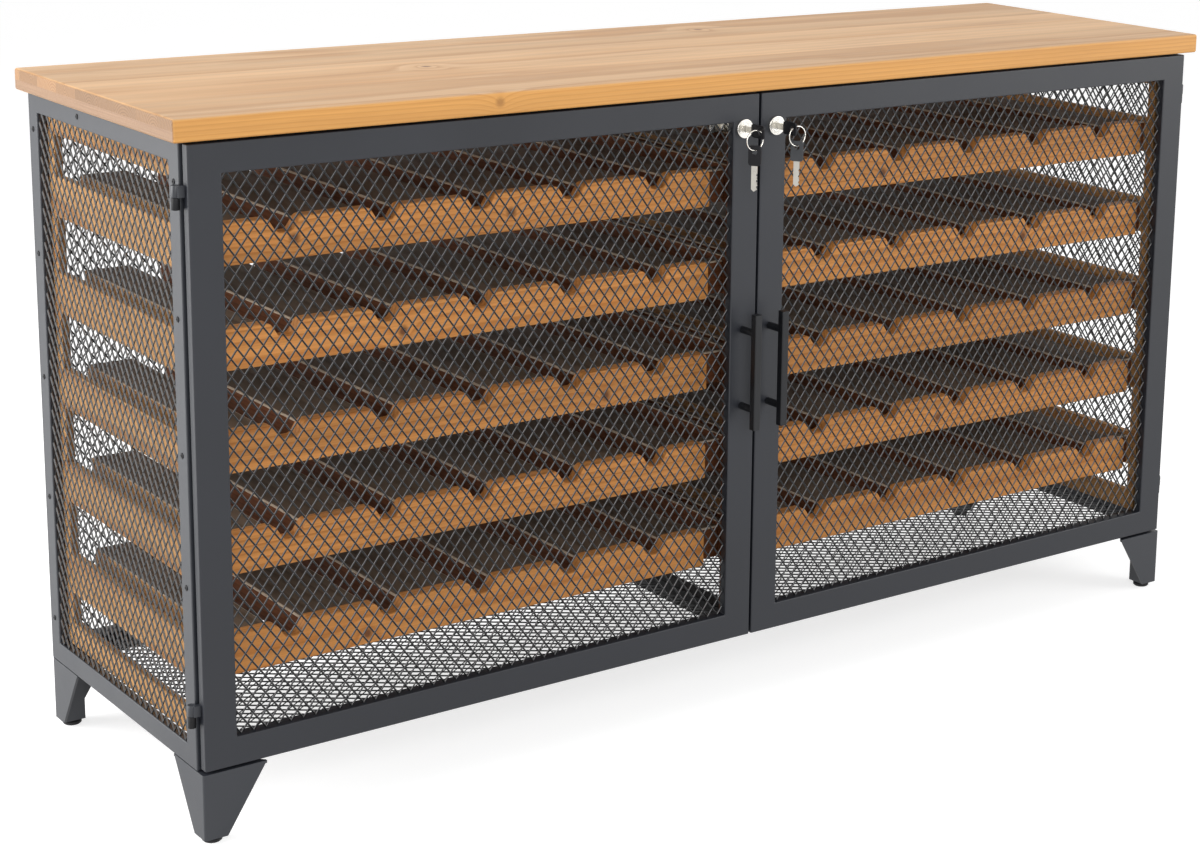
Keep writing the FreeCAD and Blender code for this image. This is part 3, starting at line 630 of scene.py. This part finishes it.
# keys: moulded bow with an eye, and a blade with cuts of these depths in millimetres
keyShape = {"width": 16 * mm, "end": 8 * mm, "shoulder": 17 * mm, "sheet": 2.4 * mm, "corner": 3.2 * mm,
            "eye": 3.2 * mm, "steps": 48, "blade": 7.6 * mm, "bladeSheet": 1.9 * mm, "bladeLength": 31 * mm,
            "cuts": (1.3, 0.5, 1.7, 0.8, 1.4), "cutPitch": 3.6 * mm, "firstCut": 4.5 * mm,
            "cutStart": 0.8 * mm, "cutEnd": 1.8 * mm, "cutRise": 3 * mm, "root": 2 * mm,
            "point": 3 * mm, "pointSide": 0.3 * mm, "bowEdge": 0.5 * mm, "bladeEdge": 0.2 * mm,
            "twist": 35, "farthest": 50 * mm, "halvings": 40}


# the edge of a rounded oblong seen from the eye at an angle, found by halving the distance
def roundedReach(angle, low, high, corner):
    direction = Vector((math.cos(angle), math.sin(angle)))
    near, far = 0.0, keyShape["farthest"]
    for step in range(keyShape["halvings"]):
        middle = (near + far) / 2
        p = direction * middle
        dx = max(low[0] + corner - p.x, p.x - high[0] + corner, 0.0)
        dy = max(low[1] + corner - p.y, p.y - high[1] + corner, 0.0)
        if math.hypot(dx, dy) <= corner:
            near = middle
        else:
            far = middle
    return direction * near


def prismMesh(points, thick, turn):
    count = len(points)
    vertices = [turn @ Vector((p[0], p[1], z)) for z in (-thick / 2, thick / 2) for p in points]
    faces = [tuple(reversed(range(count))), tuple(range(count, 2 * count))]
    faces += [(i, (i + 1) % count, count + (i + 1) % count, count + i) for i in range(count)]
    return vertices, faces


def makeKey(name, node, turn, bow):
    k = keyShape
    angles = [-2 * math.pi * i / k["steps"] for i in range(k["steps"])]
    low, high = (-k["width"] / 2, -k["end"]), (k["width"] / 2, k["shoulder"])
    outer = [roundedReach(angle, low, high, k["corner"]) for angle in angles]
    inner = [Vector((math.cos(angle), math.sin(angle))) * k["eye"] for angle in angles]
    vertices, faces = outlineMesh(outer, inner, -k["sheet"] / 2, k["sheet"] / 2,
                                  lambda a, b, depth: turn @ Vector((a, b, depth)))
    soften(addPiece(name + "Bow", vertices, faces, bow, node, replaced=[node]), k["bowEdge"], 2)
    half = k["blade"] / 2
    root = k["shoulder"] - k["root"]
    tip = k["shoulder"] + k["bladeLength"]
    points = [(half, root), (half, tip - k["point"]), (k["pointSide"], tip), (-half, tip - k["point"])]
    for i, cut in enumerate(k["cuts"]):
        at = tip - k["firstCut"] - i * k["cutPitch"]
        deep = -half + cut * mm
        points += [(deep, at - k["cutStart"]), (deep, at - k["cutEnd"]), (-half, at - k["cutRise"])]
    points.append((-half, root))
    vertices, faces = prismMesh(points, k["bladeSheet"], turn)
    soften(addPiece(name + "Blade", vertices, faces, "blade", node), k["bladeEdge"], 1)


# a key's own plane, hung with its blade down
downward = Matrix(((0, 0, -1, 0), (1, 0, 0, 0), (0, -1, 0, 0), (0, 0, 0, 1)))
for side, sign in sides.items():
    low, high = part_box(f"{side}_key")
    eye = Vector(((low.x + high.x) / 2, low.y + keyShape["end"], (low.z + high.z) / 2))
    upright = Matrix.Translation(eye) @ Matrix.Rotation(math.radians(-90), 4, "Y")
    makeKey(f"{side}Key", f"{side}_key", upright, "bow")
    low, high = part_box(f"{side}_spare_key")
    eye = Vector(((low.x + high.x) / 2, (low.y + high.y) / 2, high.z - keyShape["end"]))
    twist = Matrix.Rotation(math.radians(keyShape["twist"]), 4, "Z")
    hanging = Matrix.Translation(eye) @ twist @ downward
    makeKey(f"{side}SpareKey", f"{side}_spare_key", hanging, "bow" if sign < 0 else "greyBow")

# split rings: two turns of wire
ringShape = {"radius": 12 * mm, "wire": 0.62 * mm, "rise": 1.08 * mm, "turns": 1.95,
             "steps": 120, "round": 10}
for side in sides:
    node = f"{side}_key_ring"
    low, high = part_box(node)
    centre = (low + high) / 2
    vertices = []
    faces = []
    for i in range(ringShape["steps"] + 1):
        share = i / ringShape["steps"]
        angle = 2 * math.pi * ringShape["turns"] * share
        outward = Vector((math.cos(angle), 0, math.sin(angle)))
        spot = centre + outward * ringShape["radius"] + yAxis * ringShape["rise"] * (share - 0.5)
        for k in range(ringShape["round"]):
            turn = 2 * math.pi * k / ringShape["round"]
            vertices.append(spot + (outward * math.cos(turn) + yAxis * math.sin(turn)) * ringShape["wire"])
        if i:
            faces += sleeveFaces(i, ringShape["round"])
    faces.append(tuple(range(ringShape["round"])))
    faces.append(tuple(reversed(range(len(vertices) - ringShape["round"], len(vertices)))))
    addPiece(f"{side}SplitRing", vertices, faces, "nickel", node, smooth=True, replaced=[node])
print("keys and rings")

# small domed screws with a round socket
screwShape = {"radius": 3.4 * mm, "dome": 1.3 * mm, "socket": 1.3 * mm, "sink": 0.9 * mm, "taper": 0.92,
              "steps": 20, "rows": 4, "heights": (0.730, 0.584, 0.436, 0.289, 0.137),
              "railPlace": 86 * mm, "handleLift": (-48 * mm, 48 * mm), "handleSize": 1.2}


def addScrew(name, spot, outward, node, size=1.0):
    k = screwShape
    sideways = outward.orthogonal().normalized()
    other = outward.cross(sideways)
    rings = [(k["radius"], 0.0)]
    for row in range(1, k["rows"] + 1):
        share = row / k["rows"]
        radius = k["radius"] + (k["socket"] - k["radius"]) * share
        rings.append((radius, k["dome"] * math.sqrt(max(0.0, 1 - (radius / k["radius"]) ** 2))))
    rings.append((k["socket"] * k["taper"], rings[-1][1] - k["sink"]))
    vertices = []
    faces = []
    for row, (radius, lift) in enumerate(rings):
        for i in range(k["steps"]):
            turn = 2 * math.pi * i / k["steps"]
            flat = sideways * math.cos(turn) + other * math.sin(turn)
            vertices.append(spot + (flat * radius + outward * lift) * size)
        if row:
            faces += sleeveFaces(row, k["steps"])
    faces.append(tuple(range(len(vertices) - k["steps"], len(vertices))))
    faces.append(tuple(reversed(range(k["steps"]))))
    return addPiece(name, vertices, faces, "black", node, smooth=True)


for side, sign in sides.items():
    node = f"{side}_side_frame"
    low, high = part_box(node)
    windowLow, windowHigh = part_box(f"{side}_side_mesh")
    face = high.x if sign > 0 else low.x
    for column, y in enumerate(((low.y + windowLow.y) / 2, (high.y + windowHigh.y) / 2)):
        for row, height in enumerate(screwShape["heights"]):
            addScrew(f"{side}PostScrew{column}{row}", Vector((face, y, height)), xAxis * sign, node)
    spot = Vector((face, screwShape["railPlace"], (high.z + windowHigh.z) / 2))
    addScrew(f"{side}RailScrew", spot, xAxis * sign, node)
    barLow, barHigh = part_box(f"{side}_handle")
    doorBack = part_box(f"{side}_door_top_rail")[1].y
    for row, lift in enumerate(screwShape["handleLift"]):
        spot = Vector(((barLow.x + barHigh.x) / 2, doorBack, (barLow.z + barHigh.z) / 2 + lift))
        addScrew(f"{side}HandleScrew{row}", spot, yAxis, f"{side}_handle", screwShape["handleSize"])
print("screws")

# floor, light and camera
# the stage is white to the eye, in mirrors and through glass, and gives the object no light for it
def seenDirectly(tree):
    rays = tree.nodes.new("ShaderNodeLightPath")
    return maths(tree, "MAXIMUM", rays.outputs["Is Camera Ray"],
                 maths(tree, "MAXIMUM", rays.outputs["Is Glossy Ray"], rays.outputs["Is Transmission Ray"]))


stageLook = {"floor": [(0.2, (0.50, 0.50, 0.50)), (0.8, (0.52, 0.52, 0.52))], "cloud": 3.0, "rough": 0.9,
             "floorSize": 30.0, "glow": 0.68, "sky": 0.5, "white": (1.0, 1.0, 1.0, 1.0)}
material, tree, shader = newMaterial("floorPaint")
cloud = noise(tree, place(tree)[0], stageLook["cloud"])
put(tree, shader.inputs["Base Color"], ramp(tree, cloud, stageLook["floor"]))
shader.inputs["Roughness"].default_value = stageLook["rough"]
shader.inputs["Emission Color"].default_value = stageLook["white"]
put(tree, shader.inputs["Emission Strength"], maths(tree, "MULTIPLY", seenDirectly(tree), stageLook["glow"]))
half = stageLook["floorSize"] / 2
mesh = bpy.data.meshes.new("floor")
mesh.from_pydata([(-half, -half, 0), (half, -half, 0), (half, half, 0), (-half, half, 0)], [], [(0, 1, 2, 3)])
mesh.materials.append(material)
floor = bpy.data.objects.new("floor", mesh)
bpy.context.collection.objects.link(floor)

world = bpy.data.worlds.new("studio")
bpy.context.scene.world = world
world.use_nodes = True
tree = world.node_tree
tree.nodes.clear()
output = tree.nodes.new("ShaderNodeOutputWorld")
background = tree.nodes.new("ShaderNodeBackground")
put(tree, background.inputs["Color"], stageLook["white"])
put(tree, background.inputs["Strength"], remap(tree, seenDirectly(tree), 0.0, 1.0, stageLook["sky"], 1.0))
tree.links.new(background.outputs[0], output.inputs["Surface"])

lights = {
    "leftBox": {"at": (-2.6, 1.0, 1.1), "size": (2.6, 2.2), "power": 108.0},
    "topBox": {"at": (0.2, 0.3, 3.0), "size": (3.4, 2.0), "power": 22.0},
    "rightBox": {"at": (2.7, -2.5, 1.4), "size": (1.8, 1.8), "power": 54.0},
    "frontBox": {"at": (-1.6, -3.4, 1.7), "size": (2.4, 1.8), "power": 78.0},
}
lightAim = Vector((0, 0, 0.42))
for name, look in lights.items():
    data = bpy.data.lights.new(name, "AREA")
    data.shape = "RECTANGLE"
    data.size, data.size_y = look["size"]
    data.energy = look["power"]
    lamp = bpy.data.objects.new(name, data)
    lamp.location = look["at"]
    lamp.rotation_euler = (lightAim - lamp.location).to_track_quat("-Z", "Y").to_euler()
    bpy.context.collection.objects.link(lamp)

# the photograph's camera: turns in radians, focus and centre in its own pixels
shot = {"at": (-1.7703, -2.5126, 1.2054), "yaw": 0.6703, "pitch": -0.2189, "roll": 0.0246, "focus": 2457.7,
        "centre": (802.0, 270.0), "picture": (1200.0, 845.0), "sensor": 36.0, "reach": 100.0}
yaw, pitch, roll = shot["yaw"], shot["pitch"], shot["roll"]
forward = Vector((math.sin(yaw) * math.cos(pitch), math.cos(yaw) * math.cos(pitch), math.sin(pitch)))
right = Vector((math.cos(yaw), -math.sin(yaw), 0))
up = right.cross(forward)
right, up = right * math.cos(roll) + up * math.sin(roll), up * math.cos(roll) - right * math.sin(roll)
wide, high = shot["picture"]
data = bpy.data.cameras.new("camera")
data.sensor_width = shot["sensor"]
data.lens = shot["focus"] * data.sensor_width / wide
data.shift_x = (wide / 2 - shot["centre"][0]) / wide
data.shift_y = (shot["centre"][1] - high / 2) / wide
data.clip_end = shot["reach"]
camera = bpy.data.objects.new("camera", data)
camera.matrix_world = Matrix((right, up, -forward)).transposed().to_4x4()
camera.location = shot["at"]
bpy.context.collection.objects.link(camera)
bpy.context.scene.camera = camera
bpy.context.scene.view_settings.view_transform = "Standard"
print("stage")
